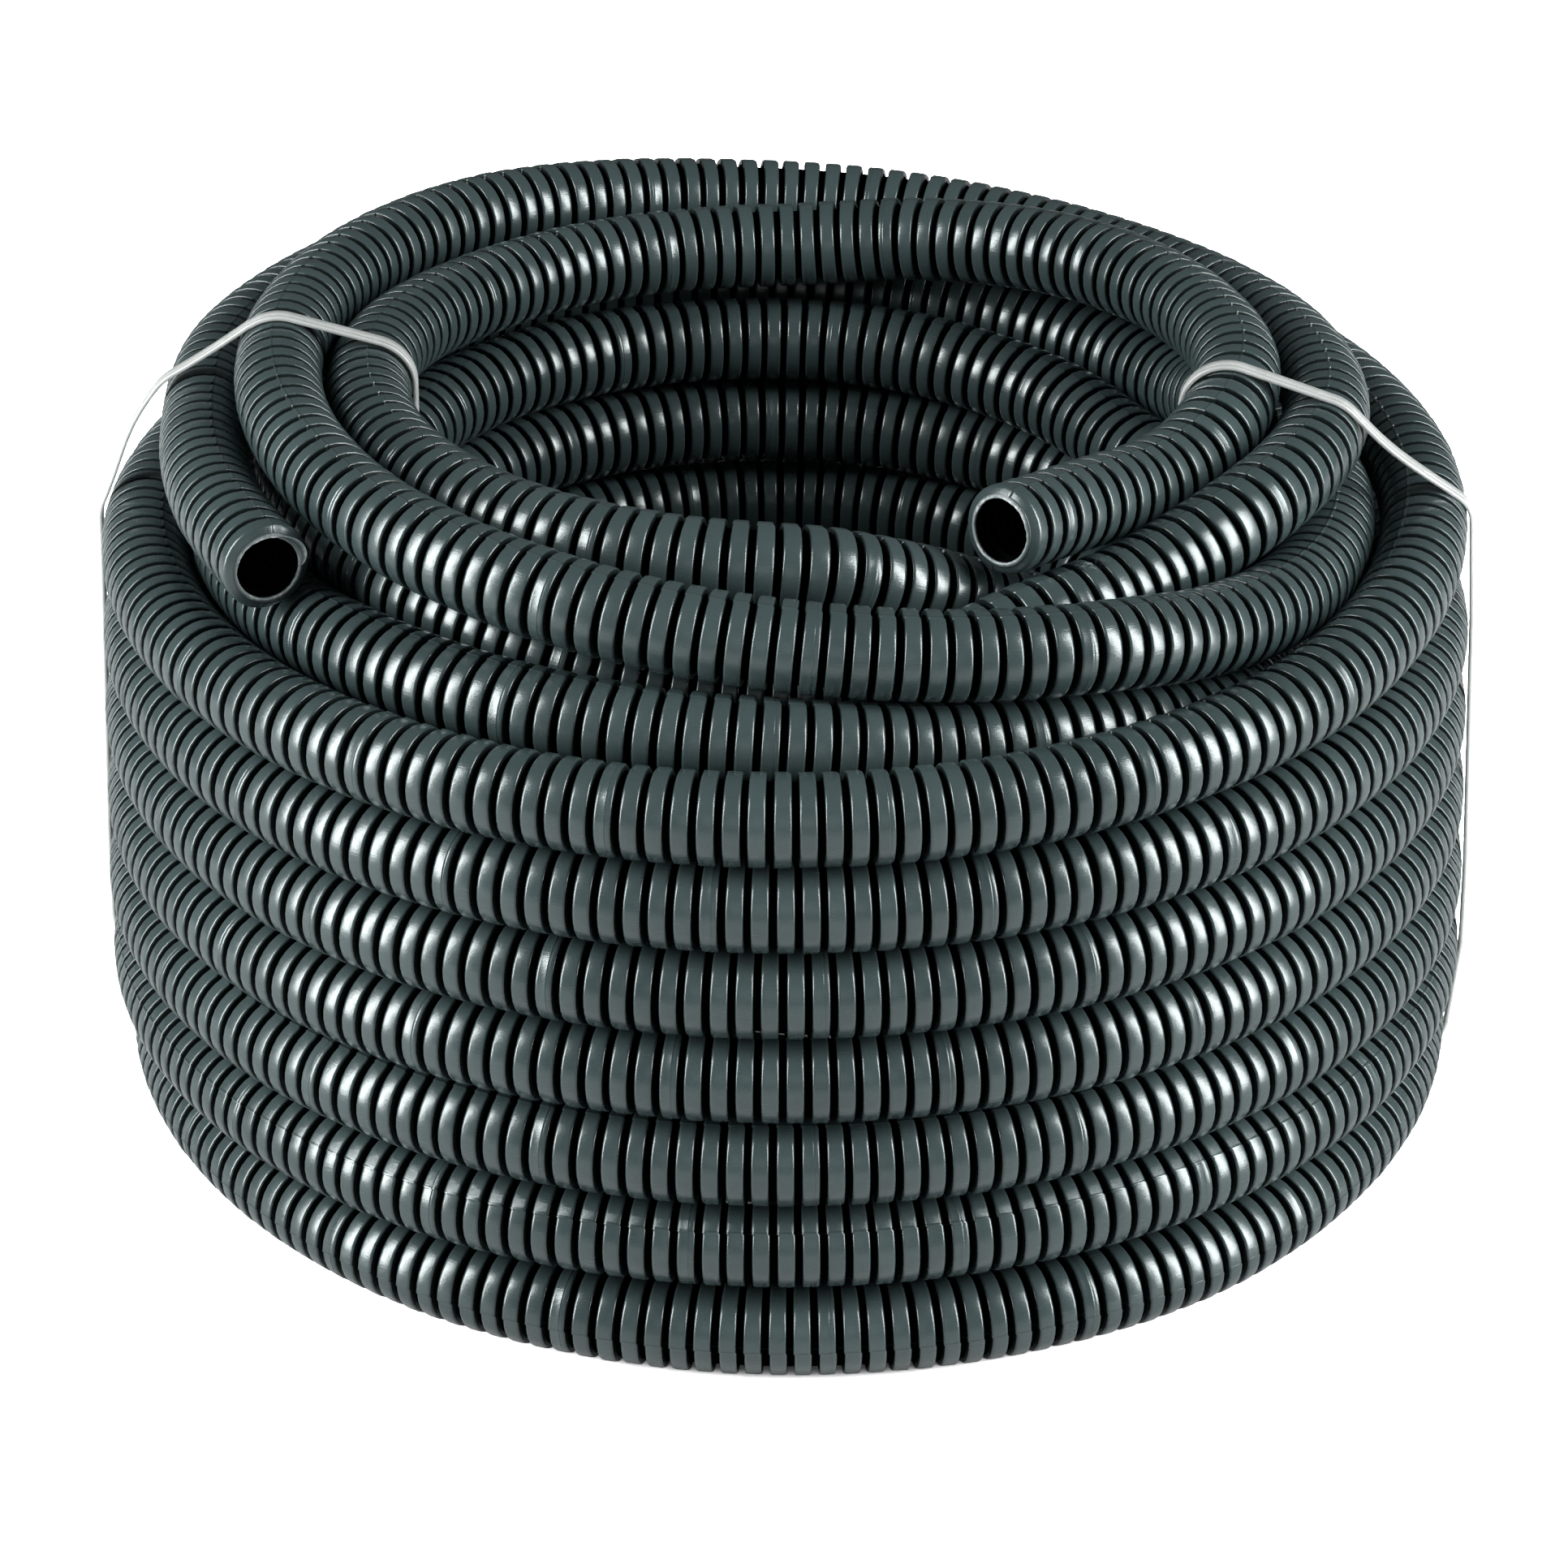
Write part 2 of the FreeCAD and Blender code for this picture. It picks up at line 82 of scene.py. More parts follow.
def crown_lay():
    """The loops on top, from the right end to where the hose crosses in to the inner wall."""
    right_end = [(RIGHT_CUT_AZIMUTH, 0.1369, 0.2423), (35.7, 0.1316, 0.2399), (43.6, 0.1287, 0.2376),
                 (51.8, 0.1284, 0.2352), (59.8, 0.1306, 0.2328), (67.5, 0.1354, 0.2334),
                 (75, 0.1396, 0.2369), (84, 0.1433, 0.2402), (94, 0.1446, 0.2410)]
    inner_top = [(104, 0.1440, 0.2403), (114, 0.1440, 0.2392), (135, 0.1425, 0.2375),
                 (160, 0.1390, 0.2330), (180, 0.1355, 0.2288), (225, 0.1344, 0.2307),
                 (270, 0.1336, 0.2369), (315, 0.1313, 0.2358), (360, 0.1294, 0.2338)]
    dips_under = [(376, 0.1251, 0.2239), (391, 0.1208, 0.2085), (405, 0.1294, 0.1974),
                  (424, 0.1372, 0.2030), (450, 0.1457, 0.2121), (465, 0.1499, 0.2113),
                  (480, 0.1569, 0.1994), (495, 0.1598, 0.1973), (510, 0.1617, 0.1991)]
    middle_low = [(540, 0.1625, 0.2030), (585, 0.1618, 0.2100), (630, 0.1569, 0.2153),
                  (652, 0.1543, 0.2145), (675, 0.1523, 0.2117), (720, 0.1512, 0.2016)]
    climbs = [(736, 0.1506, 0.2061), (751, 0.1506, 0.2161), (765, 0.1508, 0.2176),
              (784, 0.1627, 0.2282), (810, 0.1729, 0.2308)]
    middle_high = [(855, 0.1703, 0.2266), (900, 0.1672, 0.2316), (945, 0.1652, 0.2425),
                   (990, 0.1616, 0.2447), (1035, 0.1641, 0.2386), (1080, 0.1688, 0.2271)]
    sinks = [(1096, 0.1746, 0.2232), (1111, 0.1795, 0.2194), (1125, 0.1794, 0.2108),
             (1144, 0.1778, 0.2025), (1170, 0.1751, 0.1975), (1200, 0.1786, 0.1798),
             (1215, 0.1788, 0.1756)]
    third_column = [(1260, 0.1783, 0.1791), (1305, 0.1777, 0.1853), (1350, 0.1775, 0.1951),
                    (1372, 0.1787, 0.1993), (1386, 0.1795, 0.2016), (1395, 0.1800, 0.2033),
                    (1440, 0.1801, 0.2001)]
    crosses_in = [(1456, 0.1779, 0.1938), (1471, 0.1773, 0.1898), (1485, 0.1776, 0.1814),
                  (1504, 0.1656, 0.1753), (1530, 0.1480, 0.1830), (1545, 0.1379, 0.1844),
                  (1560, 0.1309, 0.1850), (1575, 0.1327, 0.1882)]
    return (right_end + inner_top + dips_under + middle_low + climbs + middle_high + sinks
            + third_column + crosses_in)


def inner_side(side, below):
    """Radius and height of the inner wall on one side, by how many turns lie below."""
    inset, lowest, step = side
    return INNER_RADIUS - inset, lowest + step * (below - 1)


def inner_lay():
    """The inner wall: turns stacked from the top down, every second one nested outward on the right."""
    lay = [(FIRST_INNER + past, INNER_RADIUS - inset, height) for past, inset, height in TOP_TURN]
    for ring in range(INNER_RINGS):
        below = INNER_RINGS - 1 - ring
        back = FIRST_INNER + 360 * ring
        lay.append((back, INNER_RADIUS, FLOOR_HEIGHT + INNER_BACK_STEP * below))
        if below == 0:
            break
        left, left_height = inner_side(INNER_LEFT, below)
        front, front_height = inner_side(INNER_FRONT, below)
        right, right_height = inner_side(INNER_RIGHT, below)
        nested = NEST_OUTWARD if below % 2 == 0 else 0
        lay.append((back + 90, left, left_height))
        lay.append((back + 180, front, front_height))
        lay.append((back + 270, right + nested, right_height))
        if ring > 0:
            lay.append((back + 225, right + NEST_BETWEEN * nested, (front_height + right_height) / 2))
    return lay


def floor_lay():
    """The rings on the floor that lead from the inner wall out to the outer wall."""
    return [(3870, 0.1386, TIED_HEIGHT), (3915, 0.1526, 0.0140), (3960, 0.1666, FLOOR_HEIGHT),
            (4050, 0.1722, TIED_HEIGHT), (4140, 0.1778, FLOOR_HEIGHT), (4185, 0.1918, 0.0140),
            (4230, 0.2030, TIED_HEIGHT), (4255, 0.2038, 0.0160), (4295, 0.2078, 0.0146),
            (FIRST_OUTER, OUTER_RADIUS, FLOOR_HEIGHT), (4355, 0.2100, 0.0140), (4380, 0.2075, 0.0159),
            (4410, 0.2052, TIED_HEIGHT)]


def outer_lay():
    """The outer wall: level rings, each climbing to the next across the back."""
    lay = []
    low = TIED_HEIGHT
    high = OUTER_SECOND_HEIGHT
    top = OUTER_RINGS - 1
    for ring in range(1, OUTER_RINGS):
        front = FIRST_OUTER + 360 * ring
        radius = OUTER_RADIUS - OUTER_LEAN * max(0, ring - 2)
        spread = OUTER_TOP_SPREAD if ring == top else 0
        for before, wider, share in CLIMB:
            lay.append((front - before, radius + wider * spread, low + share * (high - low)))
        lay.append((front - 90, radius, high))
        lay.append((front, radius, high))
        if ring < top:
            lay.append((front + 90, radius, high))
        low = high
        high = high + OUTER_STEP
    return lay


def left_end_lay():
    """From the top ring of the outer wall to the left end."""
    front = FIRST_OUTER + 360 * (OUTER_RINGS - 1)
    return [(front + 45, 0.2057, 0.1904), (front + 90, 0.2047, 0.1979), (front + 135, 0.2017, 0.2022),
            (front + 180, 0.1988, 0.2128), (front + 225, 0.1918, 0.2240), (front + 253, 0.1904, 0.2248),
            (front + 271, 0.1856, 0.2257), (front + 297, 0.1912, 0.2271), (front + 306, 0.1946, 0.2268)]


def smooth_through(places, values, wanted):
    """Values at the wanted places on a smooth line through the given ones, without overshoot."""
    gaps = np.diff(places)
    rates = np.diff(values) / gaps
    slope = np.zeros(len(places))
    slope[0], slope[-1] = rates[0], rates[-1]
    for i in range(1, len(places) - 1):
        if rates[i - 1] * rates[i] > 0:
            before = 2 * gaps[i] + gaps[i - 1]
            after = gaps[i] + 2 * gaps[i - 1]
            slope[i] = (before + after) / (before / rates[i - 1] + after / rates[i])
    at = np.clip(np.searchsorted(places, wanted, side="right") - 1, 0, len(places) - 2)
    t = (wanted - places[at]) / gaps[at]
    return (values[at] * (1 + 2 * t) * (1 - t) ** 2 + slope[at] * gaps[at] * t * (1 - t) ** 2
            + values[at + 1] * t * t * (3 - 2 * t) + slope[at + 1] * gaps[at] * t * t * (t - 1))


def route_line():
    """The hose's centre line, read from a NURBS spline whose control points go round the roll."""
    lay = np.array(sorted(crown_lay() + inner_lay() + floor_lay() + outer_lay() + left_end_lay()))
    first, last = lay[0, 0], lay[-1, 0]
    steps = int((last - first) // CONTROL_STEP)
    turn = np.linspace(first, last, steps + 1)
    radius = smooth_through(lay[:, 0], lay[:, 1], turn)
    height = smooth_through(lay[:, 0], lay[:, 2], turn)
    angle = np.radians(turn)
    curve = bpy.data.curves.new("hose_route", "CURVE")
    curve.dimensions = "3D"
    spline = curve.splines.new("NURBS")
    spline.points.add(len(turn) - 1)
    for point, a, r, z in zip(spline.points, angle, radius, height):
        point.co = (r * math.sin(a), -r * math.cos(a), z, 1)
    spline.order_u = 3
    spline.use_endpoint_u = True
    spline.resolution_u = 10
    holder = bpy.data.objects.new("hose_route", curve)
    mesh = bpy.data.meshes.new_from_object(holder)
    line = np.empty(len(mesh.vertices) * 3)
    mesh.vertices.foreach_get("co", line)
    bpy.data.objects.remove(holder)
    bpy.data.curves.remove(curve)
    bpy.data.meshes.remove(mesh)
    return line.reshape(-1, 3)


def run_along(line):
    """Length from the first point of a line to each of its points."""
    return np.r_[0, np.cumsum(np.linalg.norm(np.diff(line, axis=0), axis=1))]


class Route:
    """Places, directions and azimuths along the centre line, by length from the right end."""
    def __init__(self, line):
        self.line = line
        self.run = run_along(line)
        self.length = self.run[-1]
        self.even = np.linspace(0, self.length, int(self.length / ROUTE_STEP) + 1)
        self.centre = self.sample(line, self.run, self.even)
        azimuth = np.unwrap(np.arctan2(self.centre[:, 0], -self.centre[:, 1]))
        turns = round((RIGHT_CUT_AZIMUTH - math.degrees(azimuth[0])) / 360)
        self.azimuth = np.degrees(azimuth) + 360 * turns
        along = np.gradient(self.centre, axis=0)
        self.along = along / np.linalg.norm(along, axis=1)[:, None]

    @staticmethod
    def sample(values, run, wanted):
        return np.stack([np.interp(wanted, run, values[:, i]) for i in range(values.shape[1])], 1)

    def at(self, places):
        """Centre, direction, up and outward at each place along the hose."""
        centre = self.sample(self.centre, self.even, places)
        along = self.sample(self.along, self.even, places)
        along /= np.linalg.norm(along, axis=1)[:, None]
        up = np.array([0, 0, 1]) - along * along[:, 2:3]
        up /= np.linalg.norm(up, axis=1)[:, None]
        outward = np.cross(along, up)
        return centre, along, up, outward

    def azimuth_at(self, places):
        return np.interp(places, self.even, self.azimuth)

    def place_of(self, azimuth):
        return np.interp(azimuth, self.azimuth, self.even)


route = Route(route_line())
print("hose length", round(route.length, 3))


# Meshes

def new_mesh(name, verts, faces, smooth=True):
    """An object from points and faces of four corners."""
    mesh = bpy.data.meshes.new(name)
    verts = np.ascontiguousarray(verts, dtype=np.float32)
    faces = np.ascontiguousarray(faces, dtype=np.int32)
    mesh.vertices.add(len(verts))
    mesh.vertices.foreach_set("co", verts.ravel())
    mesh.loops.add(faces.size)
    mesh.loops.foreach_set("vertex_index", faces.ravel())
    mesh.polygons.add(len(faces))
    mesh.polygons.foreach_set("loop_start", np.arange(0, faces.size, faces.shape[1], dtype=np.int32))
    mesh.polygons.foreach_set("use_smooth", np.array(np.broadcast_to(smooth, len(faces))))
    mesh.update(calc_edges=True)
    mesh.validate()
    obj = bpy.data.objects.new(name, mesh)
    bpy.context.scene.collection.objects.link(obj)
    return obj


def grid_faces(rows, columns, closed=True, joined=False):
    """Quads between rows of points: closed goes round each row, joined from the last row to the first."""
    row = np.arange(rows if joined else rows - 1)[:, None]
    after = (row + 1) % rows
    col = np.arange(columns if closed else columns - 1)[None]
    beside = (col + 1) % columns
    corners = [row * columns + col, row * columns + beside, after * columns + beside, after * columns + col]
    return np.stack(corners, -1).reshape(-1, 4)


def add_attribute(obj, name, values):
    layer = obj.data.attributes.new(name, "FLOAT", "POINT")
    layer.data.foreach_set("value", np.ascontiguousarray(values, dtype=np.float32))


def around_places(spots, theta, reach, slide):
    """Points round places of the route, by angle from upward, reach from the centre and slide along it."""
    centre, along, up, outward = [part[:, None] for part in spots]
    away = np.cos(theta)[..., None] * up + np.sin(theta)[..., None] * outward
    return (centre + along * slide[..., None] + reach[..., None] * away).reshape(-1, 3)


# The ribbed hose

# Profiles along a rib: (share of the pitch, share of the rise from groove to crest)
RIB_SIDE = [(0.150, 0.0), (0.156, 0.77), (0.165, 0.87), (0.211, 0.970), (0.275, 1.0)]
# Where two mould blocks met: a fine raised line, and a slightly lower crest past it
SEAM_LINE = [(0.565, 1.0), (0.585, 1.022), (0.605, 0.955), (0.64, 0.972)]
SEAM_EVERY = 11
FIRST_SEAM = 2
# The rib beside a cut slopes towards it, and this share of its pitch keeps the colour of a crest, free of
# the painted groove shade
CUT_SLOPE = [(0.02, 0.06), (0.12, 0.60), (0.20, 0.87), (0.27, 0.97), (0.35, 1.0)]
CUT_SHARE = 0.4

# The mould's two parting lines: close columns of points in degrees from the line, and the even ones between
CLOSE_COLUMNS = [-3.2, -1.3, 0, 1.3, 3.2]
EVEN_COLUMNS = np.linspace(14, 166, 13)
# SHADOW_COLUMN and PARTING_SHADOW place a painted shadow, a dark line beside the parting ridge
SHADOW_COLUMN = 1
RIDGE_COLUMN = 2
PARTING_SHADOW = 0.6
PARTING_RIDGE = 0.00018
PARTING_STEP = 0.00016
# Angle of the parting line from upward, towards the outside, by azimuth: (azimuth, degrees)
PARTING_TURNS = [(30, 10), (360, -5), (720, 0), (1080, 10), (1440, 0), (1800, -20), (4320, 92),
                 (4680, 50), (5040, 12), (5400, 5), (5760, -5), (6120, -12), (6480, -30), (6790, -10)]

# How ribs differ from each other
RIB_HEIGHT_SPREAD = 0.00005
RIB_PLACE_SPREAD = 0.00006

# One rib near the right end is dented on the side away from the roll
DENT_RIB = 4
DENT_TURN = math.radians(52)
DENT_WIDTH = 0.22
DENT_DEPTH = 0.0004
DENT_PUSH = 0.0006

# One scuffed spot on top of the hose
SCUFF_AZIMUTH = 758
SCUFF_FADE = 0.003
SCUFF_CORE = 1.6


def mirrored(profile):
    return [(1 - share, up) for share, up in reversed(profile)]


def rib_rows(ribs, pitch):
    """The rows of points along the hose: place, rise, the rise that sets its painted groove shade, and rib.
    """
    plain = RIB_SIDE + mirrored(RIB_SIDE)
    seam = RIB_SIDE + SEAM_LINE + mirrored(RIB_SIDE[:-1])
    first = CUT_SLOPE + mirrored(RIB_SIDE)
    rows = []
    for rib in range(ribs):
        profile = seam if rib % SEAM_EVERY == FIRST_SEAM else plain
        if rib in (0, ribs - 1):
            profile = first if rib == 0 else mirrored(first)
        for share, up in profile:
            beside_cut = rib == 0 and share < CUT_SHARE or rib == ribs - 1 and share > 1 - CUT_SHARE
            rows.append(((rib + share) * pitch, up, 1 if beside_cut else up, rib))
    places, rise, painted_shade_rise, rib_of = np.array(rows).T
    return places, rise, painted_shade_rise, rib_of.astype(int)


def around_angles():
    """Angles of the columns round the hose, from one parting line over the other and back."""
    half = np.radians(np.r_[CLOSE_COLUMNS, EVEN_COLUMNS])
    return np.concatenate([half, half + math.pi])


def at_partings(column, value):
    """One value for each column: zero but for the same column at both parting lines."""
    row = np.zeros(2 * (len(CLOSE_COLUMNS) + len(EVEN_COLUMNS)))
    row[[column, column + len(row) // 2]] = value
    return row


def parting_turn(azimuth):
    places, degrees = zip(*PARTING_TURNS)
    return np.radians(np.interp(azimuth, places, degrees))


def hose_surface():
    """The whole hose as one ribbed tube, with the values that its material reads at each point."""
    ribs = round(route.length / RIB_PITCH)
    pitch = route.length / ribs
    places, rise, painted_shade_rise, rib_of = rib_rows(ribs, pitch)
    wall_up = rng.normal(0, RIB_HEIGHT_SPREAD, ribs)[rib_of]
    places = places + rng.normal(0, RIB_PLACE_SPREAD, ribs)[rib_of]
    radius = VALLEY_RADIUS + (CREST_RADIUS - VALLEY_RADIUS + wall_up) * rise
    angles = around_angles()
    columns = len(angles)
    theta = angles[None] + parting_turn(route.azimuth_at(places))[:, None]
    reach = radius[:, None] + at_partings(RIDGE_COLUMN, PARTING_RIDGE)[None] * rise[:, None]
    # the mould's two halves met a little out of step along the hose
    step = np.where((angles > 0) & (angles < math.pi), PARTING_STEP, -PARTING_STEP)
    dented = ((rib_of == DENT_RIB) & (rise > 0))[:, None]
    dent = np.exp(-((theta - DENT_TURN) / DENT_WIDTH) ** 2) * dented
    reach = reach - DENT_DEPTH * dent
    slide = step[None] - DENT_PUSH * dent * (places < (DENT_RIB + 0.5) * pitch)[:, None]
    spots = around_places(route.at(places), theta, reach, slide)
    spots[:, 2] = np.maximum(spots[:, 2], 0.0)
    obj = new_mesh("hose", spots, grid_faces(len(places), columns))
    # The rise attribute darkens the colour of the grooves as painted shade, and is kept at 1 beside the
    # cuts
    by_row = {"rise": painted_shade_rise, "tone": rng.random(ribs)[rib_of], "along": places}
    for name, values in by_row.items():
        add_attribute(obj, name, np.repeat(values, columns))
    add_attribute(obj, "around", np.tile(angles, len(places)) * CREST_RADIUS)
    # The parting attribute marks where the painted shadow beside the ridge goes
    add_attribute(obj, "parting", np.tile(at_partings(SHADOW_COLUMN, PARTING_SHADOW), len(places)))
    far = np.hypot((places - route.place_of(SCUFF_AZIMUTH))[:, None], np.sin(theta / 2) * 2 * CREST_RADIUS)
    add_attribute(obj, "scuff", np.clip(SCUFF_CORE - far / SCUFF_FADE, 0, 1).ravel())
    return obj


# The two cut ends

CUT_COLUMNS = 96
STUB_RADIUS = VALLEY_RADIUS + 0.0003
FOLD_RADIUS = BORE_RADIUS + 0.0026
BORE_DEPTH = 0.055
# A cap closes the bore at its end, painted black as shade like the rest of the bore
BORE_END = (BORE_DEPTH + 0.004, 0.0005, 0, 1)
# Rings of points over the rim: (depth from the cut, radius, torn, inside: how much of the bore's painted
# shade applies)
RIM = [(0.0016, VALLEY_RADIUS, 0, 0), (0.0010, STUB_RADIUS - 0.0001, 0, 0), (0.0003, STUB_RADIUS, 0, 0),
       (0.0, STUB_RADIUS - 0.0003, 0.05, 0), (-0.0001, BORE_RADIUS + 0.0008, 0.3, 0),
       (-0.0003, BORE_RADIUS + 0.0004, 1, 0), (0.0002, BORE_RADIUS, 1, 0), (0.0008, BORE_RADIUS, 0.3, 0.8)]
# One rib seen from inside the bore: (depth, radius)
FOLD = [(0.0015, BORE_RADIUS), (0.0024, FOLD_RADIUS), (0.0062, FOLD_RADIUS), (0.0071, BORE_RADIUS)]
# The knife left the rim uneven: waves round it of (height, count, start), roughness, and uneven radius
JAG_WAVES = [(0.00025, 2, 1), (0.00014, 7, 0), (0.00005, 23, 0)]
JAG_ROUGHNESS = 0.00004
JAG_THINNING = 0.015

# The sliver of wall that hangs at the upper inner side of the left end
FLAP_COLUMNS = 16
FLAP_START = -18
FLAP_SPAN = -80
FLAP_ROUNDNESS = 0.7
FLAP_RADIUS = BORE_RADIUS + 0.0002
FLAP_WIDTH = 0.0026
FLAP_BASE = 0.0001
FLAP_LIFT = 0.0022
FLAP_CURL = 0.6
# Its rows, from the rim to its free edge: (share of its width, torn)
FLAP_ROWS = [(0.0, 0.6), (0.5, 0.0), (1.0, 1.0)]


def torn_flap(cut):
    """Points and faces of the sliver, and how torn each point is."""
    share = np.linspace(0, 1, FLAP_COLUMNS)
    turn = np.radians(FLAP_START + FLAP_SPAN * share)
    swell = np.sin(math.pi * share) ** FLAP_ROUNDNESS
    part, torn = np.array(FLAP_ROWS).T
    reach = FLAP_RADIUS + FLAP_WIDTH * part[:, None] * swell
    lift = FLAP_BASE + FLAP_LIFT * swell * part[:, None] ** FLAP_CURL
    spots = around_places(route.at(np.array([cut])), turn[None], reach, lift)
    return spots, grid_faces(len(part), FLAP_COLUMNS, closed=False), np.repeat(torn, FLAP_COLUMNS)


def cut_end(name, cut, inward):
    """The stub of wall left by the cut, its torn rim and the bore; inward is +1 or -1 along the hose."""
    angles = np.linspace(0, 2 * math.pi, CUT_COLUMNS, endpoint=False)
    rings = list(RIM)
    for fold in range(int(BORE_DEPTH / RIB_PITCH)):
        rings += [(fold * RIB_PITCH + deep, radius, 0, 1) for deep, radius in FOLD]
    rings.append(BORE_END)
    deep, reach, torn, inside = np.array(rings).T
    places = cut + inward * deep
    held = np.clip(places, 0, route.length)
    jag = sum(height * np.sin(count * angles + start) for height, count, start in JAG_WAVES)
    jag = jag + rng.normal(0, JAG_ROUGHNESS, CUT_COLUMNS)
    lift = (places - held)[:, None] - inward * torn[:, None] * jag[None]
    thin = 1 - JAG_THINNING * torn[:, None] * rng.random((len(rings), CUT_COLUMNS))
    spots = around_places(route.at(held), angles[None], reach[:, None] * thin, lift)
    faces = grid_faces(len(rings), CUT_COLUMNS)
    torn = np.repeat(torn, CUT_COLUMNS)
    inside = np.repeat(inside, CUT_COLUMNS)
    if inward > 0:
        faces = faces[:, ::-1]
    else:
        flap, flap_faces, flap_torn = torn_flap(cut)
        faces = np.concatenate([faces, flap_faces + len(spots)])
        spots = np.concatenate([spots, flap])
        torn = np.concatenate([torn, flap_torn])
        inside = np.concatenate([inside, np.zeros(len(flap))])
    obj = new_mesh(name, spots, faces)
    add_attribute(obj, "torn", torn)
    add_attribute(obj, "inside", inside)
    return obj


# Cable ties

TIE_AZIMUTH = {"left": 269.0, "right": 80.5}
TIE_WIDTH = 0.0056
TIE_THICKNESS = 0.0014
TIE_CLEARANCE = 0.00045
TIE_FLOOR_GAP = 0.0002
TIE_POINT_STEP = 0.0006
OUTER_BEVEL = 0.0004
INNER_BEVEL = 0.0002
# The toothed channel, towards the strap's front edge
CHANNEL_START = 0.0008
CHANNEL_END = 0.0017
CHANNEL_SLOPE = 0.0001
TOOTH_PITCH = 0.0012
TOOTH_HEIGHT = 0.0003
# Head and tail inside the roll: (depth, width, height)
TIE_HEAD = (0.0055, 0.0070, 0.0080)
TIE_HEAD_HEIGHT = 0.084
TIE_HEAD_EDGE = 0.0006
TIE_TAIL = (0.0013, 0.0042, 0.0060)
TIE_TAIL_EDGE = 0.0003
TIE_TAIL_GAP = 0.0014
TIE_TAIL_OVERLAP = 0.001
# The right strap has slipped back on its outer side, by radius and by height
SLIP_DEGREES = 5.5
SLIP_RADII = (0.14, 0.20)
SLIP_HEIGHTS = (0.235, 0.195)
# The left strap bows out between the top loops and the outer wall
BOW_OUT = 0.004
BOW_HEIGHT = 0.222
BOW_SPREAD = 0.020
BOW_FROM_RADIUS = 0.17


def tie_frame(azimuth):
    """Outward from the roll's axis, and across to the side, at an azimuth."""
    a = math.radians(azimuth)
    outward = np.array([math.sin(a), -math.cos(a), 0])
    across = np.array([math.cos(a), math.sin(a), 0])
    return outward, across


def crossings(azimuth):
    """Where the hose passes through the upright half-plane at the azimuth, as (radius, height)."""
    outward, across = tie_frame(azimuth)
    side = route.centre @ across
    out = route.centre @ outward
    up = route.centre[:, 2]
    spots = []
    for i in np.nonzero((side[:-1] < 0) != (side[1:] < 0))[0]:
        t = side[i] / (side[i] - side[i + 1])
        radius = out[i] + (out[i + 1] - out[i]) * t
        if radius > 0:
            spots.append((radius, up[i] + (up[i + 1] - up[i]) * t))
    return spots


def outline(spots):
    """The spots that a string pulled round all of them touches, anticlockwise."""
    spots = sorted(set(spots))

    def chain(order):
        kept = []
        for x, y in order:
            while len(kept) > 1:
                (x1, y1), (x2, y2) = kept[-2:]
                if (x2 - x1) * (y - y1) - (y2 - y1) * (x - x1) > 0:
                    break
                kept.pop()
            kept.append((x, y))
        return kept[:-1]
    return chain(spots) + chain(spots[::-1])


def loop_line(corners, reach):
    """Evenly spaced points and outward normals of a line that runs at the reach round the corners."""
    dense = []
    normals = []
    after = corners[1:] + corners[:1]
    angles = [math.atan2(b[1] - a[1], b[0] - a[0]) - math.pi / 2 for a, b in zip(corners, after)]

    def add(x, z, angle):
        dense.append((x + reach * math.cos(angle), z + reach * math.sin(angle)))
        normals.append((math.cos(angle), math.sin(angle)))

    for i, ((x, z), (next_x, next_z)) in enumerate(zip(corners, after)):
        arrive = angles[i - 1]
        turn = (angles[i] - arrive) % (2 * math.pi)
        for share in np.linspace(0, 1, max(2, int(turn * reach / TIE_POINT_STEP))):
            add(x, z, arrive + turn * share)
        span = math.hypot(next_x - x, next_z - z)
        for share in np.linspace(0, 1, max(2, int(span / TIE_POINT_STEP)))[1:-1]:
            add(x + (next_x - x) * share, z + (next_z - z) * share, angles[i])
    return np.array(dense), np.array(normals)


def ease(value, start, end):
    """0 before the start, 1 past the end, and a smooth rise between."""
    share = np.clip((value - start) / (end - start), 0, 1)
    return share * share * (3 - 2 * share)


def tie_twist(side, x, z):
    """How far the strap has slipped round the roll at a radius and height, in degrees."""
    if side == "left":
        return 0.0
    return SLIP_DEGREES * ease(x, *SLIP_RADII) * ease(z, *SLIP_HEIGHTS)


def tie_slack(side, x, z):
    """How far the strap bows out at a radius and height."""
    if side == "right" or x < BOW_FROM_RADIUS:
        return 0.0
    return BOW_OUT * math.exp(-((z - BOW_HEIGHT) / BOW_SPREAD) ** 2)


def wall_inner(corners, height):
    """The inner side of the outline at a height."""
    best = None
    for a, b in zip(corners, corners[1:] + corners[:1]):
        if a[1] != b[1] and min(a[1], b[1]) <= height <= max(a[1], b[1]):
            x = a[0] + (b[0] - a[0]) * (height - a[1]) / (b[1] - a[1])
            best = x if best is None else min(best, x)
    return best


def block(x0, z0, sizes, edge):
    """Points and faces of an upright block with cut corners: x and z from its low side, y centred."""
    depth, width, height = sizes
    rings = []
    for z, inset in ((z0, edge), (z0 + edge, 0), (z0 + height - edge, 0), (z0 + height, edge)):
        left, right, half = x0 + inset, x0 + depth - inset, width / 2 - inset
        ring = [(left + edge, -half), (right - edge, -half), (right, edge - half), (right, half - edge),
                (right - edge, half), (left + edge, half), (left, half - edge), (left, edge - half)]
        rings.extend((x, y, z) for x, y in ring)
    faces = [list(face) for face in grid_faces(4, len(ring))]
    for base in (0, 3 * len(ring)):
        faces += [[base, base + 1, base + 2, base + 3], [base, base + 3, base + 4, base + 7],
                  [base + 4, base + 5, base + 6, base + 7]]
    return rings, faces


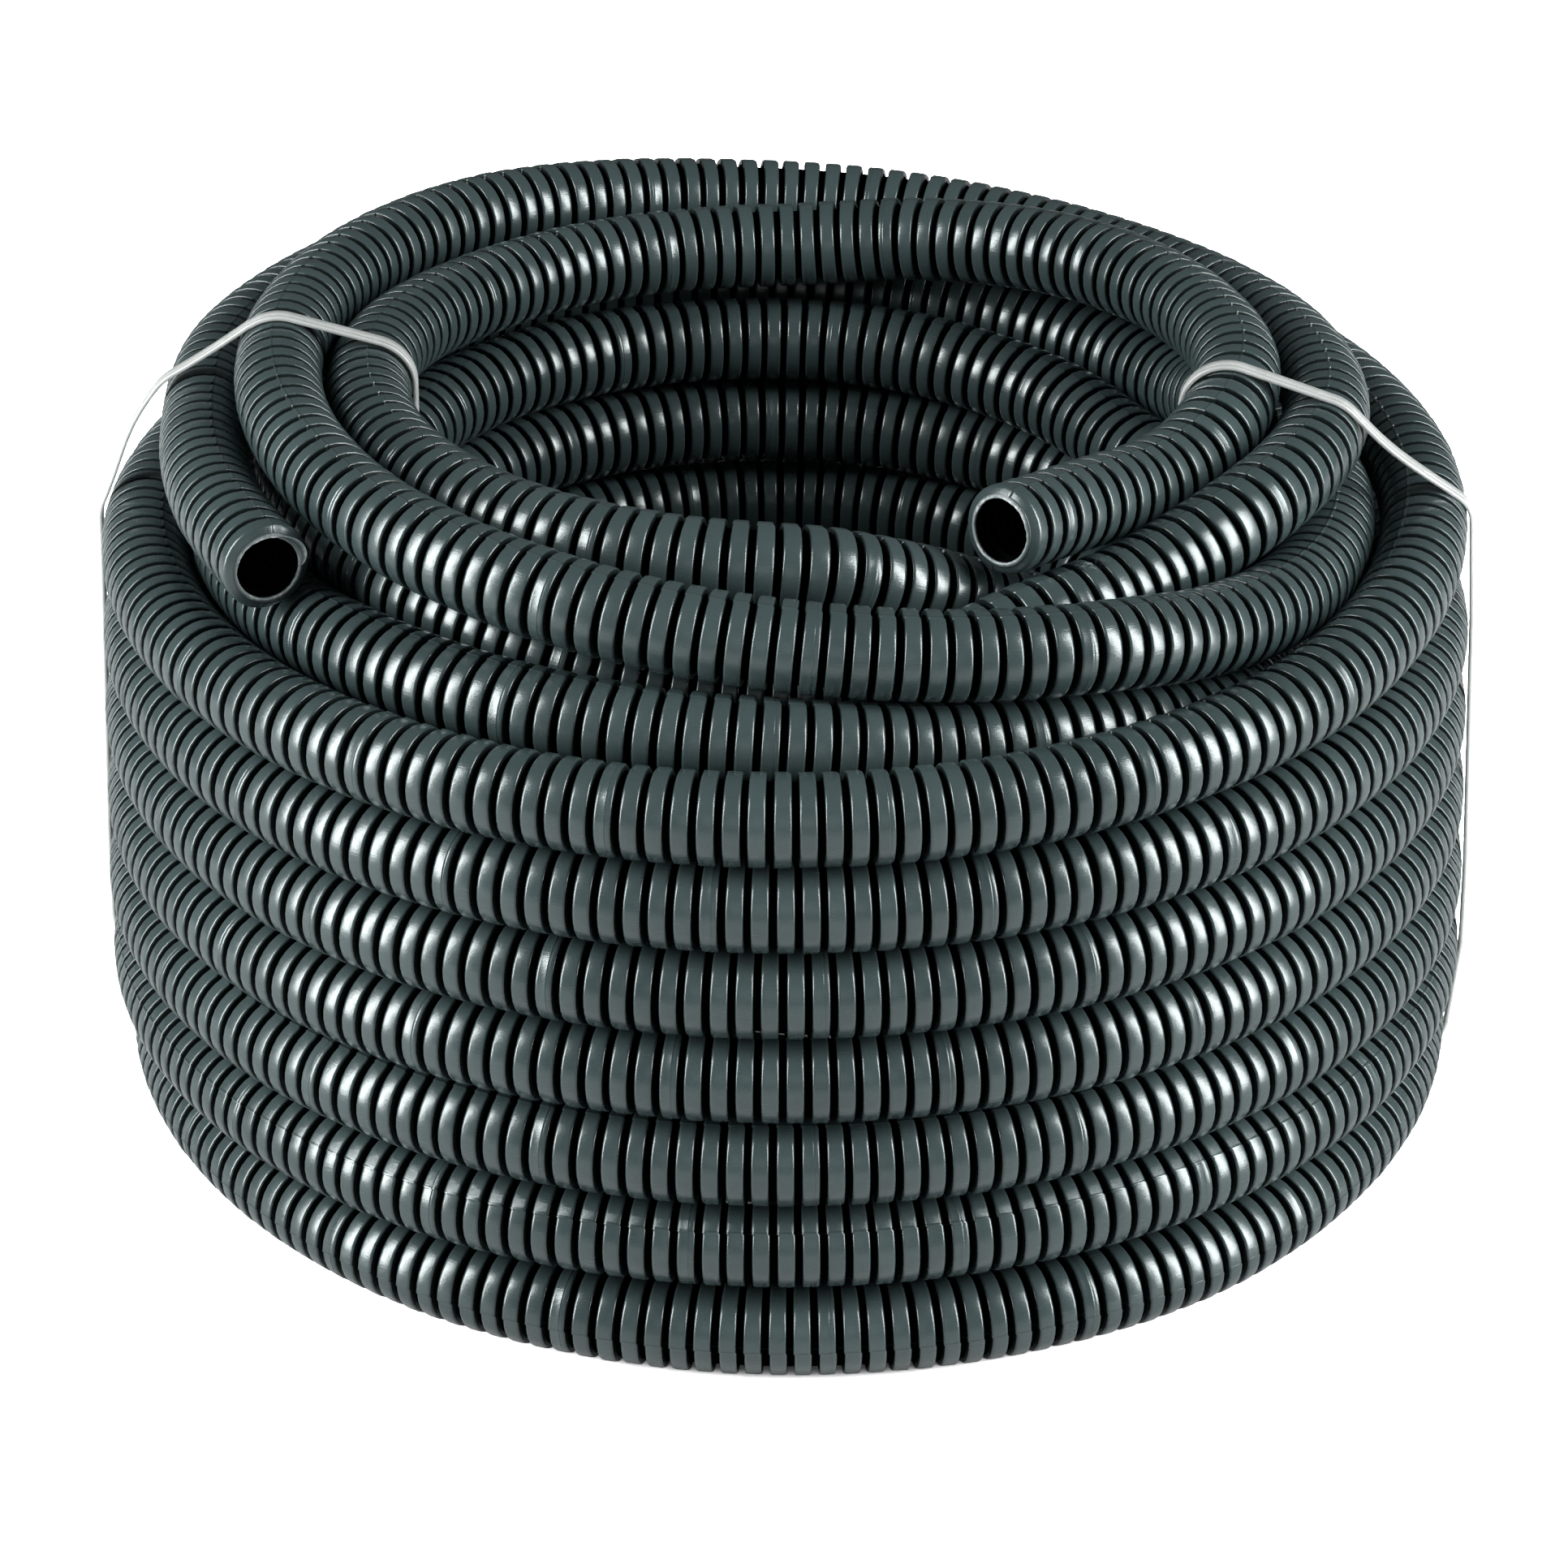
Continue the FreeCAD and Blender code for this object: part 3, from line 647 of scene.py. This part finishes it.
def strap_section(front):
    """The strap's section as (across, away from the hose), and which of its points stand on teeth."""
    half = TIE_WIDTH / 2
    top = TIE_THICKNESS
    low = TIE_THICKNESS - TOOTH_HEIGHT
    section = [(-half, INNER_BEVEL), (-half, top - OUTER_BEVEL), (-half + OUTER_BEVEL, top),
               (CHANNEL_START, top), (CHANNEL_START + CHANNEL_SLOPE, low),
               (CHANNEL_END - CHANNEL_SLOPE, low), (CHANNEL_END, top),
               (half - OUTER_BEVEL, top), (half, top - OUTER_BEVEL), (half, INNER_BEVEL),
               (half - INNER_BEVEL, 0.0), (-half + INNER_BEVEL, 0.0)]
    return [(y * front, away, away == low) for y, away in section]


def tie_strap(side):
    """A toothed band drawn round the wall of the roll, with its head and tail inside the roll."""
    azimuth = TIE_AZIMUTH[side]
    corners = outline(crossings(azimuth))
    line, normal = loop_line(corners, CREST_RADIUS + TIE_CLEARANCE)
    front = -1 if side == "right" else 1
    section = strap_section(front)
    tooth = TOOTH_HEIGHT * (1 - run_along(line) % TOOTH_PITCH / TOOTH_PITCH)
    spots = []
    for (x, z), (nx, nz), height in zip(line, normal, tooth):
        outward, across = tie_frame(azimuth + tie_twist(side, x, z))
        slack = tie_slack(side, x, z)
        for y, away, toothed in section:
            lift = slack + away + (height if toothed else 0)
            spots.append(outward * (x + nx * lift) + across * y + np.array([0, 0, z + nz * lift]))
    faces = grid_faces(len(line), len(section), joined=True)
    if front > 0:
        faces = faces[:, ::-1]
    rounded = [True] * len(faces)
    wall = wall_inner(corners, TIE_HEAD_HEIGHT) - CREST_RADIUS - TIE_CLEARANCE
    foot = TIE_HEAD_HEIGHT - TIE_HEAD[2] / 2
    head = block(wall - TIE_HEAD[0] - TIE_THICKNESS / 2, foot, TIE_HEAD, TIE_HEAD_EDGE)
    tail = block(wall - 2 * TIE_THICKNESS - TIE_TAIL_GAP, foot - TIE_TAIL[2] + TIE_TAIL_OVERLAP,
                 TIE_TAIL, TIE_TAIL_EDGE)
    outward, across = tie_frame(azimuth)
    for points, sides in (head, tail):
        faces = np.concatenate([faces, np.array(sides) + len(spots)])
        rounded += [False] * len(sides)
        spots += [outward * x + across * y + np.array([0, 0, z]) for x, y, z in points]
    spots = np.array(spots)
    spots[:, 2] = np.maximum(spots[:, 2], TIE_FLOOR_GAP)
    return new_mesh("tie_strap_" + side, spots, faces, rounded)


# Materials

HOSE_DARK = (0.020, 0.031, 0.032)
HOSE_LIGHT = (0.030, 0.044, 0.045)
# The colour of the painted shadow beside the parting ridge
PARTING_SHADOW_COLOUR = (0.012, 0.016, 0.017)
SCUFF_TINT = (0.30, 0.34, 0.34)
SPECULAR_TINT = (0.92, 1.0, 0.99)
# The torn rim's colours, pale enough to be partly a painted highlight along the rim's edge
TORN_DARK = (0.18, 0.22, 0.22)
TORN_MIDDLE = (0.22, 0.26, 0.26)
TORN_PALE_AND_HIGHLIGHT = (0.70, 0.74, 0.74)
NYLON_DARK = (0.31, 0.33, 0.32)
NYLON_LIGHT = (0.40, 0.42, 0.41)
LINES_ALONG = 180.0
LINES_AROUND = 3200.0


def grey(value):
    return (value, value, value)


def material(name, kind="ShaderNodeBsdfPrincipled"):
    mat = bpy.data.materials.new(name)
    mat.use_nodes = True
    tree = mat.node_tree
    tree.nodes.clear()
    out = tree.nodes.new("ShaderNodeOutputMaterial")
    shader = tree.nodes.new(kind)
    tree.links.new(shader.outputs[0], out.inputs[0])
    return mat, tree, shader


def feed(tree, socket, value):
    """Link a socket to another node's output, or set its value."""
    if isinstance(value, bpy.types.NodeSocket):
        tree.links.new(value, socket)
    elif socket.type == "RGBA":
        socket.default_value = (*value, 1)
    else:
        socket.default_value = value


def feed_all(tree, made, **inputs):
    for key, value in inputs.items():
        feed(tree, made.inputs[key.replace("_", " ")], value)


def node(tree, kind, **inputs):
    """The first output of a new node."""
    made = tree.nodes.new(kind)
    feed_all(tree, made, **inputs)
    return made.outputs[0]


def place_of_point(tree):
    return tree.nodes.new("ShaderNodeTexCoord").outputs["Object"]


def from_camera(tree):
    return tree.nodes.new("ShaderNodeLightPath").outputs["Is Camera Ray"]


def attribute(tree, name):
    made = tree.nodes.new("ShaderNodeAttribute")
    made.attribute_name = name
    return made.outputs["Fac"]


def maths(tree, operation, one, other):
    made = tree.nodes.new("ShaderNodeMath")
    made.operation = operation
    feed(tree, made.inputs[0], one)
    feed(tree, made.inputs[1], other)
    return made.outputs[0]


def ramp(tree, value, *stops):
    made = tree.nodes.new("ShaderNodeValToRGB")
    elements = made.color_ramp.elements
    while len(elements) < len(stops):
        elements.new(0.5)
    for element, (position, colour) in zip(elements, stops):
        element.position = position
        element.color = (*colour, 1)
    tree.links.new(value, made.inputs[0])
    return made.outputs[0]


def mix(tree, share, one, other, blend="MIX"):
    made = tree.nodes.new("ShaderNodeMix")
    made.data_type = "RGBA"
    made.blend_type = blend
    for socket, value in ((0, share), (6, one), (7, other)):
        feed(tree, made.inputs[socket], value)
    return made.outputs[2]


def hose_material():
    """Dark plastic with painted shade darkening the grooves, fine drawn lines, pale specks and one worn
    spot.
    """
    mat, tree, shader = material("hose")
    place = place_of_point(tree)
    broad = node(tree, "ShaderNodeTexNoise", Vector=place, Scale=9.0, Detail=3.0)
    specks = node(tree, "ShaderNodeTexNoise", Vector=place, Scale=900.0, Detail=4.0, Roughness=0.7)
    # fine drawn lines that run along the hose
    along = maths(tree, "MULTIPLY", attribute(tree, "along"), LINES_ALONG)
    around = maths(tree, "MULTIPLY", attribute(tree, "around"), LINES_AROUND)
    lay = node(tree, "ShaderNodeCombineXYZ", X=along, Y=around)
    lines = node(tree, "ShaderNodeTexNoise", Vector=lay, Scale=1.0, Detail=3.0)
    tint = ramp(tree, broad, (0.3, HOSE_DARK), (0.7, HOSE_LIGHT))
    fine = ramp(tree, specks, (0.35, HOSE_DARK), (0.75, HOSE_LIGHT))
    rise = attribute(tree, "rise")
    # Painted shade: the colour darkens from the crest down into the groove, where shade falls
    deep = ramp(tree, rise, (0.0, grey(0.02)), (0.8, grey(0.3)), (0.96, grey(1)))
    tone = ramp(tree, attribute(tree, "tone"), (0.0, grey(0.9)), (1.0, grey(1.06)))
    shade = mix(tree, 1.0, mix(tree, 0.25, tint, fine), deep, "MULTIPLY")
    shade = mix(tree, 1.0, shade, tone, "MULTIPLY")
    # Painted shadow: a dark line beside the ridge of each parting line
    shade = mix(tree, attribute(tree, "parting"), shade, PARTING_SHADOW_COLOUR)
    rubbed = ramp(tree, specks, (0.48, grey(0)), (0.62, grey(0.7)))
    worn = maths(tree, "MULTIPLY", attribute(tree, "scuff"), rubbed)
    relief = maths(tree, "ADD", lines, specks)
    feed_all(tree, shader,
             Base_Color=mix(tree, worn, shade, SCUFF_TINT),
             Specular_IOR_Level=node(tree, "ShaderNodeMapRange", Value=rise, From_Min=0.3, To_Max=0.5),
             Specular_Tint=SPECULAR_TINT,
             Roughness=node(tree, "ShaderNodeMapRange", Value=lines, To_Min=0.18, To_Max=0.32),
             Normal=node(tree, "ShaderNodeBump", Height=relief, Strength=0.22, Distance=0.0002))
    return mat


def end_material():
    """The stub in the hose's colour, its torn rim in pale flecks that are partly a painted highlight, and
    the bore painted black as shade.
    """
    mat, tree, shader = material("cut_end")
    place = place_of_point(tree)
    grain = node(tree, "ShaderNodeTexNoise", Vector=place, Scale=900.0, Detail=4.0)
    patches = node(tree, "ShaderNodeTexNoise", Vector=place, Scale=130.0, Detail=2.0)
    # Pale flecks on the torn rim, partly a painted highlight along its edge
    flecks = ramp(tree, grain, (0.40, TORN_MIDDLE), (0.66, TORN_PALE_AND_HIGHLIGHT))
    where = ramp(tree, patches, (0.42, grey(0)), (0.62, grey(1)))
    pale = mix(tree, attribute(tree, "torn"), HOSE_DARK, mix(tree, where, TORN_DARK, flecks))
    # The bore's colour is painted near black, with almost no reflection, as painted shade
    inside = attribute(tree, "inside")
    feed_all(tree, shader,
             Base_Color=mix(tree, inside, pale, grey(0.001)),
             Specular_IOR_Level=node(tree, "ShaderNodeMapRange", Value=inside, To_Min=0.5, To_Max=0.03),
             Roughness=0.4,
             Normal=node(tree, "ShaderNodeBump", Height=grain, Strength=0.6, Distance=0.0003))
    return mat


def tie_material():
    """Milky nylon that lets some light through."""
    mat, tree, shader = material("tie")
    cloud = node(tree, "ShaderNodeTexNoise", Vector=place_of_point(tree), Scale=120.0, Detail=3.0)
    feed_all(tree, shader,
             Base_Color=ramp(tree, cloud, (0.0, NYLON_DARK), (1.0, NYLON_LIGHT)),
             Roughness=0.38,
             Transmission_Weight=0.3,
             Subsurface_Weight=0.6,
             Subsurface_Radius=(1, 1, 1),
             Subsurface_Scale=0.004,
             IOR=1.5)
    return mat


HOSE = hose_material()
CUT = end_material()
NYLON = tie_material()

hose = hose_surface()
hose.data.materials.append(HOSE)
ends = [cut_end("hose_cut_right", 0.0, 1), cut_end("hose_cut_left", route.length, -1)]
for end in ends:
    end.data.materials.append(CUT)
    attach(end, "root")
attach(hose, "root")
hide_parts("hose_coil", "hose_end_right", "hose_end_left")

for side in ("left", "right"):
    strap = tie_strap(side)
    strap.data.materials.append(NYLON)
    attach(strap, "root")
    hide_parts("cable_tie_" + side)


# Floor, light and camera

FLOOR_SIZE = 16
FLOOR_SHADE = grey(0.6)
FLOOR_SEEN = grey(3.4)
WORLD_SHADE = grey(0.10)
WORLD_SEEN = grey(1.0)
# (name, azimuth, elevation, distance, width, height, power)
SOFTBOXES = [("left_box", -70, 23, 1.8, 0.50, 1.7, 86),
             ("right_box", 70, 23, 1.8, 0.50, 1.7, 86),
             ("front_box", 0, 20, 2.4, 1.4, 1.0, 3)]
LIGHT_AIM = Vector((0, 0, 0.12))
# The camera, as fitted to the photograph
SENSOR_WIDTH = 36
FOCAL_LENGTH = 149.6
CAMERA_TILT = math.radians(27.36)
CAMERA_DISTANCE = 2.144
CAMERA_AIM = Vector((-0.0006, 0, 0.0937))


def floor_material():
    """Plain white, brighter to the camera alone so that it meets the backdrop, with the shadow kept."""
    mat, tree, shader = material("floor", "ShaderNodeBsdfDiffuse")
    feed_all(tree, shader, Color=mix(tree, from_camera(tree), FLOOR_SHADE, FLOOR_SEEN))
    return mat


def softbox(name, azimuth, elevation, distance, width, height, power):
    """A soft light aimed at the roll: azimuth 0 is the front, 90 the right."""
    light = bpy.data.lights.new(name, "AREA")
    light.shape = "RECTANGLE"
    light.size = width
    light.size_y = height
    light.energy = power
    obj = bpy.data.objects.new(name, light)
    bpy.context.scene.collection.objects.link(obj)
    a = math.radians(azimuth)
    e = math.radians(elevation)
    back = Vector((math.sin(a) * math.cos(e), -math.cos(a) * math.cos(e), math.sin(e)))
    obj.location = LIGHT_AIM + back * distance
    obj.rotation_euler = (-back).to_track_quat("-Z", "Y").to_euler()


def floor_and_light():
    bpy.ops.mesh.primitive_plane_add(size=FLOOR_SIZE, location=(0, 0, 0))
    floor = bpy.context.object
    floor.name = "floor"
    floor.data.materials.append(floor_material())
    world = bpy.data.worlds.new("studio")
    bpy.context.scene.world = world
    world.use_nodes = True
    tree = world.node_tree
    shade = mix(tree, from_camera(tree), WORLD_SHADE, WORLD_SEEN)
    tree.links.new(shade, tree.nodes["Background"].inputs[0])
    for box in SOFTBOXES:
        softbox(*box)


def camera():
    lens = bpy.data.cameras.new("camera")
    lens.sensor_width = SENSOR_WIDTH
    lens.lens = FOCAL_LENGTH
    obj = bpy.data.objects.new("camera", lens)
    bpy.context.scene.collection.objects.link(obj)
    back = Vector((0, -math.cos(CAMERA_TILT), math.sin(CAMERA_TILT)))
    obj.location = CAMERA_AIM + back * CAMERA_DISTANCE
    obj.rotation_euler = (math.pi / 2 - CAMERA_TILT, 0, 0)
    bpy.context.scene.camera = obj


floor_and_light()
camera()
bpy.context.scene.view_settings.view_transform = "Standard"
